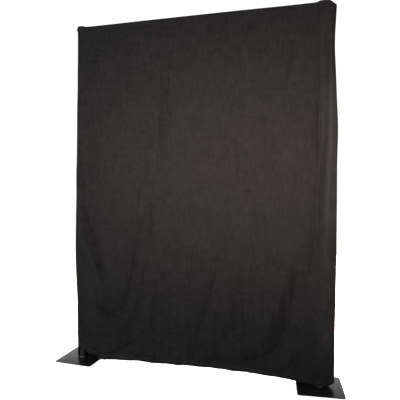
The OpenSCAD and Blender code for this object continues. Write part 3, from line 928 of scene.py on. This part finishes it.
def edges_where(piece, test):
    """Selects the piece's edges whose two ends pass a test, in edit mode."""
    shape = bmesh.from_edit_mesh(piece.data)
    for edge in shape.edges:
        edge.select_set(bool(test(edge.verts[0].co, edge.verts[1].co)))
    shape.select_flush_mode()
    bmesh.update_edit_mesh(piece.data)


def make_plate(side, post_x, turn):
    """One rounded steel base plate with its countersunk screw hole."""
    thick = PLATE_HIGH - PLATE_LOW
    bpy.ops.object.select_all(action="DESELECT")
    bpy.ops.mesh.primitive_cube_add(size=1.0)
    plate = bpy.context.object
    plate.name = side + "_painted_plate"
    plate.data.name = plate.name
    plate.scale = (PLATE_SIDE, PLATE_SIDE, thick)
    apply_place(plate)
    bpy.ops.object.mode_set(mode="EDIT")
    bpy.ops.mesh.select_mode(type="EDGE")
    bpy.ops.mesh.select_all(action="DESELECT")
    # the four upright corners, then the rims of the top and the underside
    edges_where(plate, lambda a, b: abs(a.z - b.z) > thick / 2)
    bpy.ops.mesh.bevel(offset=PLATE_CORNER, segments=12)
    bpy.ops.mesh.select_all(action="DESELECT")
    edges_where(plate, lambda a, b: abs(a.z - b.z) < thick / 9 and abs(a.z) > thick / 3)
    bpy.ops.mesh.bevel(offset=PLATE_EDGE, segments=4)
    bpy.ops.object.mode_set(mode="OBJECT")
    bpy.ops.object.select_all(action="DESELECT")
    bpy.ops.mesh.primitive_cylinder_add(radius=SCREW_HOLE, depth=3 * thick, vertices=HOLE_SIDES)
    drill = bpy.context.object
    bpy.ops.object.select_all(action="DESELECT")
    bpy.ops.mesh.primitive_cone_add(
        radius1=SCREW_HEAD, radius2=SCREW_HOLE, depth=SCREW_HEAD_DEEP, vertices=HOLE_SIDES,
        location=(0, 0, -thick / 2 + SCREW_HEAD_DEEP / 2 - CUTTER_PROUD),
    )
    sink = bpy.context.object
    for cutter in (drill, sink):
        cut = plate.modifiers.new("cut", "BOOLEAN")
        cut.object = cutter
        cut.solver = "EXACT"
    apply_modifiers(plate)
    for cutter in (drill, sink):
        bpy.data.objects.remove(cutter)
    plate.location = (post_x, 0, (PLATE_LOW + PLATE_HIGH) / 2)
    plate.rotation_euler = (0, 0, math.radians(turn))
    apply_place(plate)
    bpy.ops.object.shade_smooth_by_angle(angle=math.radians(25))
    plate.data.materials.clear()
    plate.data.materials.append(POWDER_COAT)
    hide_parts(side + "_base_plate")
    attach(plate, side + "_base")


make_plate("left", LEFT_POST_X, LEFT_PLATE_TURN)
make_plate("right", RIGHT_POST_X, RIGHT_PLATE_TURN)


# ---------------------------------------------------------------- studio

# Narrow lights for the roll of slack cloth at the right edge: name, height, length, power.
STRIPS = [("strip_tall", 1.2, 1.9, 1.5), ("strip_mid", 1.5, 0.9, 2.1)]


def add_light(name, kind, place, aim, power, colour, **settings):
    data = bpy.data.lights.new(name, kind)
    data.energy = power
    data.color = colour
    for setting, value in settings.items():
        setattr(data, setting, value)
    light = bpy.data.objects.new(name, data)
    bpy.context.collection.objects.link(light)
    light.location = place
    facing = Vector(aim) - Vector(place)
    light.rotation_euler = facing.to_track_quat("-Z", "Y").to_euler()
    light.visible_camera = False
    return light


def add_back_light():
    """A soft light for the far side, kept out of the shine of the base plates."""
    light = add_light(
        "back", "AREA", (1.6, 4.8, 2.2), (0, 0, 1.2), 1500, (1.0, 0.95, 0.9),
        shape="RECTANGLE", size=1.4, size_y=1.4,
    )
    light.visible_glossy = False


def make_studio():
    """A white world, a pale floor, a warm key light, a cool fill light and the strips."""
    bpy.context.scene.view_settings.view_transform = "Standard"
    world = bpy.data.worlds.new("studio")
    bpy.context.scene.world = world
    world.use_nodes = True
    sky = world.node_tree.nodes["Background"]
    sky.inputs["Color"].default_value = (1, 1, 1, 1)
    sky.inputs["Strength"].default_value = 1.08
    bpy.ops.object.select_all(action="DESELECT")
    bpy.ops.mesh.primitive_plane_add(size=30)
    floor = bpy.context.object
    floor.name = "studio_floor"
    floor.data.materials.append(paint_floor())
    add_light(
        "key", "AREA", (0.6, -2.9, 1.5), (0.72, 0, 1.47), 122, (1.0, 0.81, 0.70),
        shape="RECTANGLE", size=2.6, size_y=0.2, spread=math.radians(49),
    )
    add_light(
        "fill", "AREA", (-1.9, -4.6, 2.0), (0, 0, 0.9), 790, (0.97, 0.97, 1.0),
        shape="RECTANGLE", size=1.2, size_y=1.0,
    )
    for name, height, tall, power in STRIPS:
        add_light(
            name, "AREA", (1.02, -1.1, height), (0.92, 0, height), power, (1.0, 0.9, 0.82),
            shape="RECTANGLE", size=0.03, size_y=tall, spread=math.radians(10),
        )


make_studio()
add_back_light()
